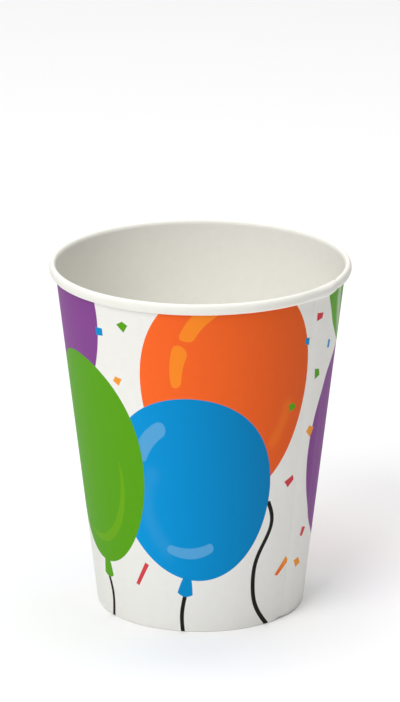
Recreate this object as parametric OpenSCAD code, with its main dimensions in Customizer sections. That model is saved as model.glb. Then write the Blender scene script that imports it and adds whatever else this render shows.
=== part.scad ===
// Paper party cup, made of two pieces of board: a printed side wall, wrapped to a cone
// and rolled at the rim, and a base disc whose turned-down edge is glued into the foot.
// The origin is on the table under the middle of the cup, +Z is up and -Y is the front.

/* [Cup] */
// Height from the table to the top of the rim
cup_h = 92; // [80:1:120]
// Outside diameter of the foot at the table
foot_d = 54; // [46:0.5:62]
// Outside diameter that the straight wall reaches at the full height
mouth_d = 75.4; // [69:0.2:84]

/* [Board] */
// Thickness of the side wall's board
wall_t = 0.3; // [0.2:0.05:0.4]
// Thickness of the base disc's board
base_t = 0.3; // [0.2:0.05:0.5]
// Glue line between two plies
glue_t = 0.02; // [0.01:0.01:0.05]

/* [Rim] */
// Width of the rim's roll, from the wall's inner face to its outermost line
roll_w = 1.8; // [1.6:0.1:2.8]
// Height of the rim's roll
roll_h = 2.9; // [2.6:0.05:4.5]
// Turn of the board from the wall's inner side to its tucked edge, in degrees
curl_turn = 410; // [380:5:430]
// Clearance between the tucked edge and the wall
curl_gap = 0.06; // [0.04:0.01:0.1]

/* [Foot] */
// Height of the base's top face above the table
floor_h = 6.6; // [5:0.1:12]
// Free height between the skirt's edge and the base's underside
skirt_gap = 0.7; // [0.4:0.1:2]
// Rounding of the folded edge that the cup stands on
fold_r = 0.3; // [0.2:0.05:0.4]
// Outside radius of the bend at the base disc's edge
bend_r = 0.9; // [0.6:0.05:1.5]

/* [Seam] */
// Width of the glued lap, measured at the mouth
lap_w = 8; // [5:0.5:12]
// Place of the outer ply's free edge, in degrees to the right of the front
lap_edge = 51; // [40:1:120]

/* [Print] */
// Height that each layer of ink stands proud of the one below it
ink_t = 0.03; // [0.02:0.01:0.05]
// Thickness of a balloon's printed string
string_w = 1.05; // [0.6:0.05:1.6]
// How much fuller the top of a balloon is than its bottom
fullness = 0.12; // [0:0.02:0.2]
// Width and length of the flared neck under a balloon's knot, as shares of the cup's height
neck_w = 0.046; // [0.03:0.002:0.07]
neck_l = 0.053; // [0.03:0.001:0.08]
// Size of the confetti against its normal size
confetti_scale = 1; // [0.6:0.1:1.5]

/* [Hidden] */
$fn = 96;

// Colours, as the photograph shows them
paper = [0.95, 0.94, 0.92];
// Each ink: its name, its colour, and the lighter colour of the highlights on it
inks = [
    ["purple", [0.45, 0.2, 0.53], [0.56, 0.36, 0.65]],
    ["green", [0.35, 0.65, 0.08], [0.45, 0.69, 0.09]],
    ["blue", [0, 0.56, 0.83], [0.33, 0.64, 0.85]],
    ["orange", [0.95, 0.38, 0.14], [0.97, 0.55, 0.16]],
    ["amber", [0.96, 0.6, 0.18], [0.98, 0.72, 0.4]],
    ["red", [0.83, 0.24, 0.27], [0.92, 0.45, 0.45]]
];
string_ink = [0.17, 0.15, 0.14];

// Outside radius of the straight wall at a height above the table
function wall_r(z) = (foot_d + (mouth_d - foot_d) * z / cup_h) / 2;

// Half angle of the wall's cone, and the slant length from its apex to the foot
cone_half = atan((mouth_d - foot_d) / 2 / cup_h);
foot_slant = foot_d / 2 / sin(cone_half);

// The foot is five layers thick: wall, glue, base flange, glue, skirt
flange_out = wall_t + glue_t;
flange_in = flange_out + base_t;
skirt_out = flange_in + glue_t;
skirt_in = skirt_out + wall_t;
skirt_top = floor_h - base_t - skirt_gap;

// The roll's middle, and the half axes of the board's centre line at its first turn
roll_z = cup_h - roll_h / 2;
roll_r = wall_r(roll_z) - wall_t + roll_w / 2;
curl_a = (roll_w - wall_t) / 2;
curl_b = (roll_h - wall_t) / 2;
curl_tuck = wall_t + curl_gap;
curl_steps = 48;

// Fineness of the printed outlines
outline_step = 10;
highlight_steps = 6;
string_steps = 12;

// Layer of ink that the confetti is printed in
scrap_layer = 2;

// Share of a string's drop that is hidden above its top
string_lead = 0.08;

// The lap spans one angle from foot to rim, because the blank's edges are radial
lap_turn = lap_w / (mouth_d / 2) * 180 / PI;

// Ink reaches this far into the board, so that it is one solid with it
ink_root = wall_t / 3;
ink_low = fold_r;
ink_high = roll_z - roll_h / 2 + wall_t;

module side_wall() {
    color(paper) {
        rotate_extrude() wall_section();
        lap();
    }
    print_balloons();
    print_strings();
    print_confetti();
}

module base_disc() {
    color(paper) rotate_extrude() base_section();
}

// Everything that one turn of the side wall's board fills, from the skirt to the curl
module wall_section() {
    polygon([
        [wall_r(roll_z) - wall_t, roll_z],
        [wall_r(roll_z), roll_z],
        each fold_outside(),
        each skirt_edge(),
        each fold_inside()
    ]);
    polygon(curl_band());
}

// Outside of the folded edge, from the wall round to the skirt's inner face
function fold_outside() = [
    for (a = [0:15:90])
        [wall_r(fold_r) - fold_r * (1 - cos(a)), fold_r * (1 - sin(a))],
    for (a = [90:-15:0])
        [wall_r(fold_r) - skirt_in + fold_r * (1 - cos(a)), fold_r * (1 - sin(a))]
];

// Cut edge of the skirt, from its inner face to its outer one
function skirt_edge() = [
    [wall_r(skirt_top) - skirt_in, skirt_top],
    [wall_r(skirt_top) - skirt_out, skirt_top]
];

// Pocket of the folded edge, where the base's flange ends
function fold_inside() = [
    [wall_r(wall_t) - skirt_out, wall_t],
    [wall_r(wall_t) - wall_t, wall_t]
];

// Centre line of the curl: an oval that shrinks by one ply and its clearance as it turns
// back to the wall
function curl_point(turn) =
    let (
        tuck_a = curl_tuck * max(0, turn - 180) / 180,
        tuck_b = curl_tuck * max(0, turn - 270) / 180
    )
    [
        roll_r + (curl_a - tuck_a) * cos(180 - turn),
        roll_z + (curl_b - tuck_b) * sin(180 - turn)
    ];

// One side of the curl's board, at a distance from the centre line
function curl_side(away) = [
    for (i = [0:curl_steps])
        let (
            turn = i * curl_turn / curl_steps,
            along = curl_point(turn + 1) - curl_point(turn - 1),
            unit = along / norm(along)
        )
        curl_point(turn) + away * [-unit.y, unit.x]
];

function curl_band() = concat(curl_side(wall_t / 2), reverse(curl_side(-wall_t / 2)));

function reverse(list) = [for (i = [len(list) - 1:-1:0]) list[i]];

// The wall's second ply, over the inner end of the board. The roll hangs one ply lower there
module lap() {
    turn_right(lap_edge)
        rotate_extrude(angle = lap_turn) {
            polygon([
                [wall_r(fold_r) - wall_t / 2, fold_r],
                [wall_r(fold_r) + wall_t, fold_r],
                [wall_r(roll_z) + wall_t, roll_z],
                [wall_r(roll_z) - wall_t / 2, roll_z]
            ]);
            lap_roll();
        }
}

// Section of the roll where it holds two plies, with the hollow that is left in it
module lap_roll() {
    difference() {
        oval(roll_w / 2, (roll_h + wall_t) / 2, roll_z - wall_t / 2);
        oval(roll_w / 2 - wall_t, roll_h / 2 - wall_t, roll_z);
    }
}

module oval(half_w, half_h, z) {
    polygon([for (a = [0:7.5:352.5]) [roll_r + half_w * cos(a), z + half_h * sin(a)]]);
}

// Section of the base disc: flat, with its edge turned down into the foot
module base_section() {
    edge_r = wall_r(floor_h - bend_r) - flange_out;
    flange_end = wall_t + glue_t;
    polygon([
        [0, floor_h - base_t],
        [0, floor_h],
        for (a = [90:-10:0])
            [edge_r - bend_r + bend_r * cos(a), floor_h - bend_r + bend_r * sin(a)],
        [wall_r(flange_end) - flange_out, flange_end],
        [wall_r(flange_end) - flange_in, flange_end],
        for (a = [0:10:90])
            [
                edge_r - bend_r + (bend_r - base_t) * cos(a),
                floor_h - bend_r + (bend_r - base_t) * sin(a)
            ]
    ]);
}

// Turns its children about the cup's axis, from the +X side to an angle right of the front
module turn_right(angle) {
    rotate([0, 0, angle - 90]) children();
}

// The print is laid out on the flat blank. A place on it is given by its turn to the right
// of the front, in degrees, and its height as a share of the cup's height. Sizes there are
// shares of the cup's height too, so that the print grows with the cup.

// Each balloon: turn, height, half width, half height, lean to the right in degrees, ink and
// layer of ink. Where its neck shows, also how far right of its middle the neck hangs, and
// how far it swings to the right, in degrees
balloons = [
    [-82.8, 0.879, 0.256, 0.315, 4.5, "purple", 1, undef],
    [12.7, 0.738, 0.254, 0.332, -2.5, "orange", 1, undef],
    [90.5, 1.064, 0.24, 0.304, -8, "green", 1, undef],
    [133, 0.84, 0.235, 0.29, 6, "blue", 2, undef],
    [205, 0.86, 0.25, 0.31, -4, "green", 1, undef],
    [-3.9, 0.438, 0.231, 0.281, -8.2, "blue", 2, -0.016, -8],
    [-60.6, 0.481, 0.209, 0.313, -6.4, "green", 3, 0.023, 0],
    [96, 0.487, 0.232, 0.311, -4.7, "purple", 3, 0.01, 4],
    [155, 0.45, 0.215, 0.285, 7, "orange", 4, -0.01, -5],
    [236, 0.47, 0.225, 0.29, 4, "blue", 2, 0.005, 6]
];

// Each highlight: the balloon that it lies on, counted from zero, the stretch of that
// balloon's outline that it follows, in degrees, the shares of the outline that its middle
// keeps to at both ends, half its thickness as such a share, and how far its ends thin out
highlights = [
    [1, 143, 177, 0.665, 0.615, 0.057, 0],
    [1, 104, 137, 0.78, 0.65, 0.055, 0],
    [5, 106, 150, 0.735, 0.68, 0.085, 0.1],
    [5, 233, 284, 0.75, 0.645, 0.057, 0.3],
    [6, 265, 357, 0.82, 0.61, 0.042, 0.85],
    [3, 112, 150, 0.74, 0.69, 0.075, 0],
    [7, 55, 95, 0.68, 0.74, 0.07, 0],
    [8, 120, 160, 0.74, 0.69, 0.075, 0],
    [8, 250, 292, 0.74, 0.68, 0.055, 0.3],
    [9, 30, 68, 0.69, 0.76, 0.075, 0],
    [9, 246, 288, 0.72, 0.68, 0.055, 0.3]
];

// Each string: turn and height of its top, drift to the right on its way to the foot, bow,
// wave and ripple to the right, and layer of ink
strings = [
    [-8.4, 0.104, -0.006, -0.005, 0, 0, 1],
    [-56.4, 0.123, 0.001, 0.01, 0.001, 0, 1],
    [34.8, 0.372, 0.026, -0.043, 0.023, 0.006, 1],
    [98.5, 0.132, 0.01, -0.008, 0, 0, 1],
    [152, 0.112, -0.008, 0.006, 0, 0, 1],
    [197, 0.42, -0.02, 0.038, -0.022, 0.004, 1],
    [237, 0.125, 0.006, -0.008, 0, 0, 1]
];

// Each scrap of confetti: turn, height, length, width, slant in degrees, ink, and how far
// its ends lean, its sides close towards one end, and its ends close towards one side
confetti = [
    [-44.7, 0.881, 0.026, 0.023, 4, "blue", -0.05, 0.07, 0],
    [-32.4, 0.914, 0.025, 0.024, -36, "green", -0.17, -0.12, 0.24],
    [-37.1, 0.746, 0.022, 0.021, -21, "amber", -0.12, -0.18, 0],
    [-31.3, 0.164, 0.08, 0.012, 63, "red", 0, -0.1, 0],
    [43.3, 0.659, 0.021, 0.022, 27, "green", 0.16, 0.06, 0.13],
    [49, 0.845, 0.02, 0.017, 92, "blue", -0.22, 0, 0.14],
    [55.4, 0.909, 0.027, 0.02, 0, "red", -0.06, 0.22, -0.1],
    [66.7, 0.806, 0.023, 0.022, 75, "blue", -0.12, -0.05, -0.06],
    [57.9, 0.736, 0.027, 0.023, 103, "green", -0.19, 0.08, -0.24],
    [57.4, 0.565, 0.031, 0.025, -35, "amber", 0, -0.21, 0.04],
    [46.5, 0.43, 0.032, 0.021, 31, "red", -0.04, 0.23, -0.11],
    [61.7, 0.251, 0.027, 0.019, 63, "red", 0.08, -0.25, 0],
    [46.8, 0.166, 0.059, 0.017, 45, "amber", 0.02, -0.31, -0.06],
    [59.6, 0.161, 0.025, 0.026, 10, "amber", 0.41, 0.06, 0.03],
    [169, 0.93, 0.03, 0.022, 35, "red", -0.1, 0.2, 0],
    [167, 0.8, 0.027, 0.022, -20, "green", -0.2, -0.1, 0.2],
    [244, 0.9, 0.031, 0.022, 25, "amber", 0.1, -0.2, 0],
    [238, 0.79, 0.025, 0.023, 70, "red", 0.2, 0.1, 0.1],
    [190, 0.24, 0.032, 0.021, -35, "green", -0.1, 0.2, 0],
    [206, 0.31, 0.026, 0.023, 15, "amber", 0.2, 0, 0.15],
    [203, 0.13, 0.07, 0.014, 55, "blue", 0, -0.2, 0],
    [181, 0.09, 0.026, 0.023, 10, "red", 0.1, 0.1, -0.1],
    [126, 0.13, 0.03, 0.022, 60, "blue", 0.1, -0.2, 0],
    [264, 0.15, 0.029, 0.022, 20, "red", 0.2, 0.1, 0],
    [272, 0.07, 0.026, 0.023, -15, "amber", -0.2, 0, 0.1],
    [111, 0.1, 0.028, 0.021, 35, "green", 0.1, 0.2, 0]
];

function ink_of(name) = [for (i = inks) if (i[0] == name) i[1]][0];
function highlight_of(name) = [for (i = inks) if (i[0] == name) i[2]][0];

// Where a point of the flat blank, across and up from a place on it, comes to lie on the
// cup: its turn from that place in degrees, and its height
function wrapped(place_z, across, up) =
    let (
        slant = foot_slant + place_z / cos(cone_half),
        reach = norm([across, slant + up]),
        turn = atan2(across, slant + up) / sin(cone_half)
    )
    [turn, (reach - foot_slant) * cos(cone_half)];

// The same point, seen square on from outside the cup at that place
function seen(place_z, p) =
    let (w = wrapped(place_z, p.x, p.y))
    [wall_r(w.y) * sin(w.x), w.y];

function leant(points, lean) = [
    for (p = points)
        [p.x * cos(lean) + p.y * sin(lean), p.y * cos(lean) - p.x * sin(lean)]
];

// A point on a balloon's outline about its middle: an ellipse that is fuller at the top
function balloon_point(b, a) =
    cup_h * [b[2] * cos(a) * (1 + fullness * sin(a)), b[3] * sin(a)];

function balloon_outline(b) = [for (a = [0:outline_step:359]) balloon_point(b, a)];

// A highlight follows its balloon's outline, as a band between two angles
function highlight_side(b, h, side) = [
    for (i = [0:highlight_steps])
        let (
            t = i / highlight_steps,
            middle = h[3] + (h[4] - h[3]) * t,
            half = h[5] * (1 - h[6] * (2 * t - 1) * (2 * t - 1))
        )
        (middle + side * half) * balloon_point(b, h[1] + (h[2] - h[1]) * t)
];

function highlight_outline(b, h) =
    concat(highlight_side(b, h, 1), reverse(highlight_side(b, h, -1)));

// The tied neck under a balloon: narrow at the knot, flared below it
function neck_outline(b) =
    let (
        top = -0.97 * b[3] * cup_h,
        low = -(b[3] + neck_l) * cup_h,
        at = b[7] * cup_h,
        knot = neck_w / 3.6 * cup_h,
        flare = neck_w / 2 * cup_h,
        swing = (top - low) * tan(b[8])
    )
    [[at - knot, top], [at + swing - flare, low], [at + swing + flare, low], [at + knot, top]];

// A string hangs to the foot. It starts a little above its top, under a balloon or its neck
function string_side(s, away) =
    let (drop = s[1] * cup_h / cos(cone_half))
    [
        for (i = [0:string_steps])
            let (
                t = i / string_steps * (1 + string_lead) - string_lead,
                waves = s[3] * sin(180 * t) + s[4] * sin(360 * t) + s[5] * sin(540 * t)
            )
            [cup_h * (s[2] * t + waves) + away, -drop * t]
    ];

function string_outline(s) =
    concat(string_side(s, string_w / 2), reverse(string_side(s, -string_w / 2)));

// A scrap is a cut rectangle out of true. Each corner is where two of its cuts meet
function scrap_corner(c, end, side) =
    let (
        lean = end * c[6] + c[8],
        meet = end * side - c[7] * lean
    )
    confetti_scale * cup_h / 2 * [c[2] * (side - lean) / meet, c[3] * (end - c[7]) / meet];

function scrap_outline(c) = [
    scrap_corner(c, -1, -1),
    scrap_corner(c, 1, -1),
    scrap_corner(c, 1, 1),
    scrap_corner(c, -1, 1)
];

// Sets an outline of the flat blank into the wall's skin, as one layer of ink
module ink_field(turn, height, outline, layer) {
    intersection() {
        turn_right(turn)
            rotate([90, 0, 90])
                linear_extrude(height = mouth_d)
                    polygon([for (p = outline) seen(height * cup_h, p)]);
        ink_shell(layer * ink_t);
    }
}

// All that one layer of ink could fill: a thin skin over the wall and over its lap
module ink_shell(proud) {
    rotate_extrude() ink_band(0, proud);
    turn_right(lap_edge)
        rotate_extrude(angle = lap_turn) ink_band(wall_t, proud);
}

module ink_band(lift, proud) {
    polygon([
        [wall_r(ink_low) + lift - ink_root, ink_low],
        [wall_r(ink_low) + lift + proud, ink_low],
        [wall_r(ink_high) + lift + proud, ink_high],
        [wall_r(ink_high) + lift - ink_root, ink_high]
    ]);
}

module print_balloons() {
    for (b = balloons)
        color(ink_of(b[5])) {
            ink_field(b[0], b[1], leant(balloon_outline(b), b[4]), b[6]);
            if (!is_undef(b[7])) ink_field(b[0], b[1], neck_outline(b), b[6]);
        }
    for (h = highlights) {
        b = balloons[h[0]];
        color(highlight_of(b[5]))
            ink_field(b[0], b[1], leant(highlight_outline(b, h), b[4]), b[6] + 1);
    }
}

module print_strings() {
    color(string_ink)
        for (s = strings) ink_field(s[0], s[1], string_outline(s), s[6]);
}

module print_confetti() {
    for (c = confetti)
        color(ink_of(c[5]))
            ink_field(c[0], c[1], leant(scrap_outline(c), -c[4]), scrap_layer);
}

side_wall();
base_disc();
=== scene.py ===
"""Looks of a white paper party cup with a rolled rim and a print of balloons and confetti.

Lengths are in metres and angles in degrees, unless a name says otherwise. The cup stands on
z = 0 about the Z axis, and -Y is its front. A turn is an angle about that axis, counted to
the right from the front as the cup's outside is seen.

The side wall is one sheet of board. Its flat blank is a ring sector, so a place on the
blank with slant length rho from the cone's apex and turn phi lies at
    theta = phi * sin(cone half angle),  X = rho * sin(theta),  Y = rho * cos(theta) - rho0
with rho0 the slant length of the foot. The print is laid out in those flat X and Y.
"""
import logging
import math
from dataclasses import dataclass, field
from enum import Enum

import bpy
import numpy as np
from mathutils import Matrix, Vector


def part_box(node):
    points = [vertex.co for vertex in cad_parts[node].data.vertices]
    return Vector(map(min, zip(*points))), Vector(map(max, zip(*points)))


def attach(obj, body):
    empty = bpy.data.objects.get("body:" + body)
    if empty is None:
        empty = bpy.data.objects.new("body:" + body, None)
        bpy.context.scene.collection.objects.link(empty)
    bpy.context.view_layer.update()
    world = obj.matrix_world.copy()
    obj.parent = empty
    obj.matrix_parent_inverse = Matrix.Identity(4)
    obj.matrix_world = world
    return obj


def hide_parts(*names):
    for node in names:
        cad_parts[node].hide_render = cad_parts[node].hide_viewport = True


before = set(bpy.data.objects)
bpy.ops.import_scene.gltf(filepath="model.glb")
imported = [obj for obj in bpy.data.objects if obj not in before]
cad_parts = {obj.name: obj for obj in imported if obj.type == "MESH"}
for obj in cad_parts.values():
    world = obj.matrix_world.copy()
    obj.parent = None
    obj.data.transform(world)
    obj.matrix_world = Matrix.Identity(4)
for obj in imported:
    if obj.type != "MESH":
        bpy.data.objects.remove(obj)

LOG = logging.getLogger("paper_cup")
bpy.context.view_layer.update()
BLANK_MAP = "Blank"
BAKE_MAP = "OFBake"
MM = 0.001
PRINT_EDGE = 0.05 * MM
SHARP_ANGLE = 50.0
SLACK = 0.001 * MM

Colour = tuple[float, float, float]
Place = tuple[float, float, float]
Socket = bpy.types.NodeSocket


def display(red: float, green: float, blue: float) -> Colour:
    """Turns a display colour into the linear one that shaders take.

    Args:
        red: Red from 0 to 255.
        green: Green from 0 to 255.
        blue: Blue from 0 to 255.

    Returns:
        The linear red, green and blue, by the sRGB curve.
    """
    share = np.array([red, green, blue]) / 255
    linear = np.where(share <= 0.04045, share / 12.92, ((share + 0.055) / 1.055) ** 2.4)
    return tuple(float(v) for v in linear)


def ease(value: np.ndarray, start: float, end: float) -> np.ndarray:
    """Smooth step from 0 at start to 1 at end: t * t * (3 - 2 * t), with t the clamped share."""
    share = np.clip((value - start) / (end - start), 0, 1)
    return share * share * (3 - 2 * share)


class Ink(Enum):
    """The flat inks of the print: the ink's own colour, then that of the highlights on it."""

    PURPLE = (display(136, 71, 147), display(160, 106, 176))
    GREEN = (display(90, 163, 20), display(118, 176, 18))
    BLUE = (display(0, 141, 206), display(86, 165, 218))
    ORANGE = (display(241, 100, 38), display(252, 140, 40))
    AMBER = (display(246, 158, 52), display(250, 190, 110))
    RED = (display(214, 66, 76), display(235, 120, 120))
    BLACK = (display(35, 31, 28), display(70, 66, 64))
    # Pale ink of a stripe that is partly a printed highlight and partly painted sheen.
    PALE_PRINT_AND_SHEEN = (display(214, 226, 206), display(214, 226, 206))

    @property
    def body(self) -> Colour:
        """The ink's own colour."""
        return self.value[0]

    @property
    def light(self) -> Colour:
        """The colour of a highlight printed on the ink."""
        # The soft highlights that take this colour are painted reflection.
        return self.value[1]


@dataclass(frozen=True)
class Highlight:
    """A lighter mark on a balloon that follows its outline, from start to end in degrees.

    Its middle keeps to the shares first and last of the outline at its two ends, half is half
    its thickness as such a share, thin is how far both ends thin out, and taper how far it
    grows from start to end. Tilt is by how many degrees the outer corners of its ends lie
    past their middles. A soft one has an edge that fades over that share of its thickness,
    and carries painted reflection: a faint band of the coating's sheen, laid into the print.
    Its ink is the balloon's own highlight colour, unless another is named.
    """

    start: float
    end: float
    first: float
    last: float
    half: float
    thin: float = 0.0
    soft: float = 0.0
    strength: float = 1.0
    taper: float = 0.0
    tilt: float = 0.0
    corner: float = 0.7
    ink: Ink | None = None


@dataclass(frozen=True)
class Balloon:
    """A balloon of the print. Lengths are shares of the cup's height.

    Its outline is x = half_w * cos(a) * (1 + fullness * sin(a)), y = half_h * sin(a), leant
    to the right. Where its neck shows, knot is how far right of the balloon's middle the neck
    hangs, and swing is how far it swings to the right, in degrees. Its painted shade is the
    share by which the ink darkens from the balloon's middle to its right edge, the side
    away from the key light.
    """

    turn: float
    height: float
    half_w: float
    half_h: float
    lean: float
    ink: Ink
    fullness: float = 0.12
    knot: float | None = None
    swing: float = 0.0
    # Painted shade: the ink darkens towards the balloon's right edge, away from the key light.
    shade: float = 0.05
    highlights: tuple[Highlight, ...] = ()


@dataclass(frozen=True)
class Thread:
    """A balloon's string, from its top to the foot. Lengths are shares of the cup's height.

    At the share t of the way down it lies right of its top by drift * t + bow * sin(pi t)
    + wave * sin(2 pi t) + ripple * sin(3 pi t) + flick * sin(4 pi t). Thick is its thickness
    over that of the other strings. Lead is how far above its top it starts, as a share of its
    drop, where a balloon or its neck hides it.
    """

    turn: float
    height: float
    drift: float
    bow: float
    wave: float = 0.0
    ripple: float = 0.0
    flick: float = 0.0
    thick: float = 1.0
    lead: float = 0.08


@dataclass(frozen=True)
class Scrap:
    """A scrap of confetti: a cut rectangle, slanted and out of true.

    Skew is how far its ends lean, taper how far its sides close towards one end, and wedge
    how far its ends close towards one side. Its ink fades to another at its far end where
    one is named.
    """

    turn: float
    height: float
    length: float
    width: float
    slant: float
    ink: Ink
    skew: float = 0.0
    taper: float = 0.0
    wedge: float = 0.0
    fade: Ink | None = None


BACKGROUND_PRINT: tuple[Balloon | Thread, ...] = (
    Balloon(-82.8, 0.879, 0.256, 0.315, 4.5, Ink.PURPLE, 0.136),
    Balloon(12.7, 0.738, 0.254, 0.332, -2.5, Ink.ORANGE, 0.108, shade=0.12, highlights=(
        Highlight(140.5, 176, 0.65, 0.59, 0.072, taper=-0.22, tilt=1.5, corner=0.85),
        Highlight(100, 135, 0.775, 0.655, 0.077, tilt=4),
        # Soft band low on the right: painted reflection of the coating's sheen.
        Highlight(310, 345, 0.76, 0.76, 0.06, soft=0.8, strength=0.25))),
    Balloon(90.5, 1.064, 0.24, 0.304, -8.8, Ink.GREEN, 0.15, highlights=(
        # Pale stripe near the cup's right edge: partly the balloon's printed highlight, partly
        # painted sheen where the wall turns away.
        Highlight(200, 238, 0.57, 0.88, 0.1, soft=0.8, strength=0.7, ink=Ink.PALE_PRINT_AND_SHEEN),)),
    Balloon(133, 0.84, 0.235, 0.29, 6, Ink.BLUE, highlights=(
        Highlight(112, 150, 0.74, 0.69, 0.075),)),
    Balloon(205, 0.86, 0.25, 0.31, -4, Ink.GREEN, highlights=(
        Highlight(205, 250, 0.74, 0.7, 0.05, 0.85),)),
    Thread(-8.4, 0.104, -0.006, -0.005),
    Thread(-56.4, 0.123, 0.001, 0.01, 0.001),
    Thread(34.4, 0.378, 0.0245, -0.0386, 0.0228, 0.0055, 0.0051, 1.12, 0.02),
    Thread(98.5, 0.132, 0.01, -0.008),
    Thread(152, 0.112, -0.008, 0.006),
    Thread(201, 0.42, -0.02, 0.038, -0.022, 0.004),
    Thread(237, 0.125, 0.006, -0.008),
)

# In each row the value after the swing is the balloon's painted shade.
FRONT_PRINT: tuple[Balloon, ...] = (
    Balloon(-3.9, 0.438, 0.231, 0.281, -8.2, Ink.BLUE, 0.088, -0.016, -8, 0.22, (
        # Soft band on the left, towards the key light: painted reflection of the coating's sheen.
        Highlight(148, 240, 0.47, 0.79, 0.09, soft=0.9, strength=0.17),
        Highlight(105, 150, 0.735, 0.68, 0.085, 0.1, corner=1),
        Highlight(234, 283, 0.745, 0.655, 0.06, 0.2, corner=0.9))),
    Balloon(-60.6, 0.481, 0.209, 0.313, -6.4, Ink.GREEN, 0.143, 0.023, 0, 0.0, (
        Highlight(240, 360, 0.83, 0.6, 0.05, 0.85, strength=0.6),)),
    Balloon(96, 0.487, 0.232, 0.311, -4.7, Ink.PURPLE, 0.05, 0.01, 4, 0.0, (
        Highlight(55, 95, 0.68, 0.74, 0.07),)),
    Balloon(155, 0.45, 0.215, 0.285, 7, Ink.ORANGE, 0.1, -0.01, -5, highlights=(
        Highlight(120, 160, 0.74, 0.69, 0.075),
        Highlight(250, 292, 0.74, 0.68, 0.055, 0.3))),
    Balloon(236, 0.47, 0.225, 0.29, 4, Ink.BLUE, 0.1, 0.005, 6, 0.1, (
        Highlight(30, 68, 0.69, 0.76, 0.075),
        Highlight(246, 288, 0.72, 0.68, 0.055, 0.3))),
)

CONFETTI: tuple[Scrap, ...] = (
    Scrap(-44.7, 0.881, 0.026, 0.023, 4, Ink.BLUE, -0.05, 0.07),
    Scrap(-32.4, 0.914, 0.025, 0.024, -36, Ink.GREEN, -0.17, -0.12, 0.24),
    Scrap(-37.1, 0.746, 0.022, 0.021, -21, Ink.AMBER, -0.12, -0.18),
    Scrap(-31.3, 0.164, 0.08, 0.012, 63, Ink.RED, 0, -0.1),
    Scrap(43.3, 0.659, 0.021, 0.022, 27, Ink.GREEN, 0.16, 0.06, 0.13),
    Scrap(49, 0.845, 0.02, 0.017, 92, Ink.BLUE, -0.22, 0, 0.14),
    Scrap(55.4, 0.909, 0.027, 0.02, 0, Ink.RED, -0.06, 0.22, -0.1),
    Scrap(66.7, 0.806, 0.023, 0.022, 75, Ink.BLUE, -0.12, -0.05, -0.06),
    Scrap(57.9, 0.736, 0.027, 0.023, 103, Ink.GREEN, -0.19, 0.08, -0.24),
    Scrap(57.4, 0.565, 0.031, 0.025, -35, Ink.AMBER, 0, -0.21, 0.04),
    Scrap(46.5, 0.43, 0.032, 0.021, 31, Ink.RED, -0.04, 0.23, -0.11),
    Scrap(61.7, 0.251, 0.027, 0.019, 63, Ink.RED, 0.08, -0.25),
    Scrap(46.8, 0.166, 0.059, 0.017, 45, Ink.ORANGE, 0.02, -0.31, -0.06, Ink.AMBER),
    Scrap(59.6, 0.161, 0.025, 0.026, 10, Ink.AMBER, 0.41, 0.06, 0.03),
    Scrap(169, 0.93, 0.03, 0.022, 35, Ink.RED, -0.1, 0.2),
    Scrap(167, 0.8, 0.027, 0.022, -20, Ink.GREEN, -0.2, -0.1, 0.2),
    Scrap(244, 0.9, 0.031, 0.022, 25, Ink.AMBER, 0.1, -0.2),
    Scrap(238, 0.79, 0.025, 0.023, 70, Ink.RED, 0.2, 0.1, 0.1),
    Scrap(190, 0.24, 0.032, 0.021, -35, Ink.GREEN, -0.1, 0.2),
    Scrap(206, 0.31, 0.026, 0.023, 15, Ink.AMBER, 0.2, 0, 0.15),
    Scrap(203, 0.13, 0.07, 0.014, 55, Ink.BLUE, 0, -0.2),
    Scrap(181, 0.09, 0.026, 0.023, 10, Ink.RED, 0.1, 0.1, -0.1),
    Scrap(126, 0.13, 0.03, 0.022, 60, Ink.BLUE, 0.1, -0.2),
    Scrap(264, 0.15, 0.029, 0.022, 20, Ink.RED, 0.2, 0.1),
    Scrap(272, 0.07, 0.026, 0.023, -15, Ink.AMBER, -0.2, 0, 0.1),
    Scrap(111, 0.1, 0.028, 0.021, 35, Ink.GREEN, 0.1, 0.2),
)


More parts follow.
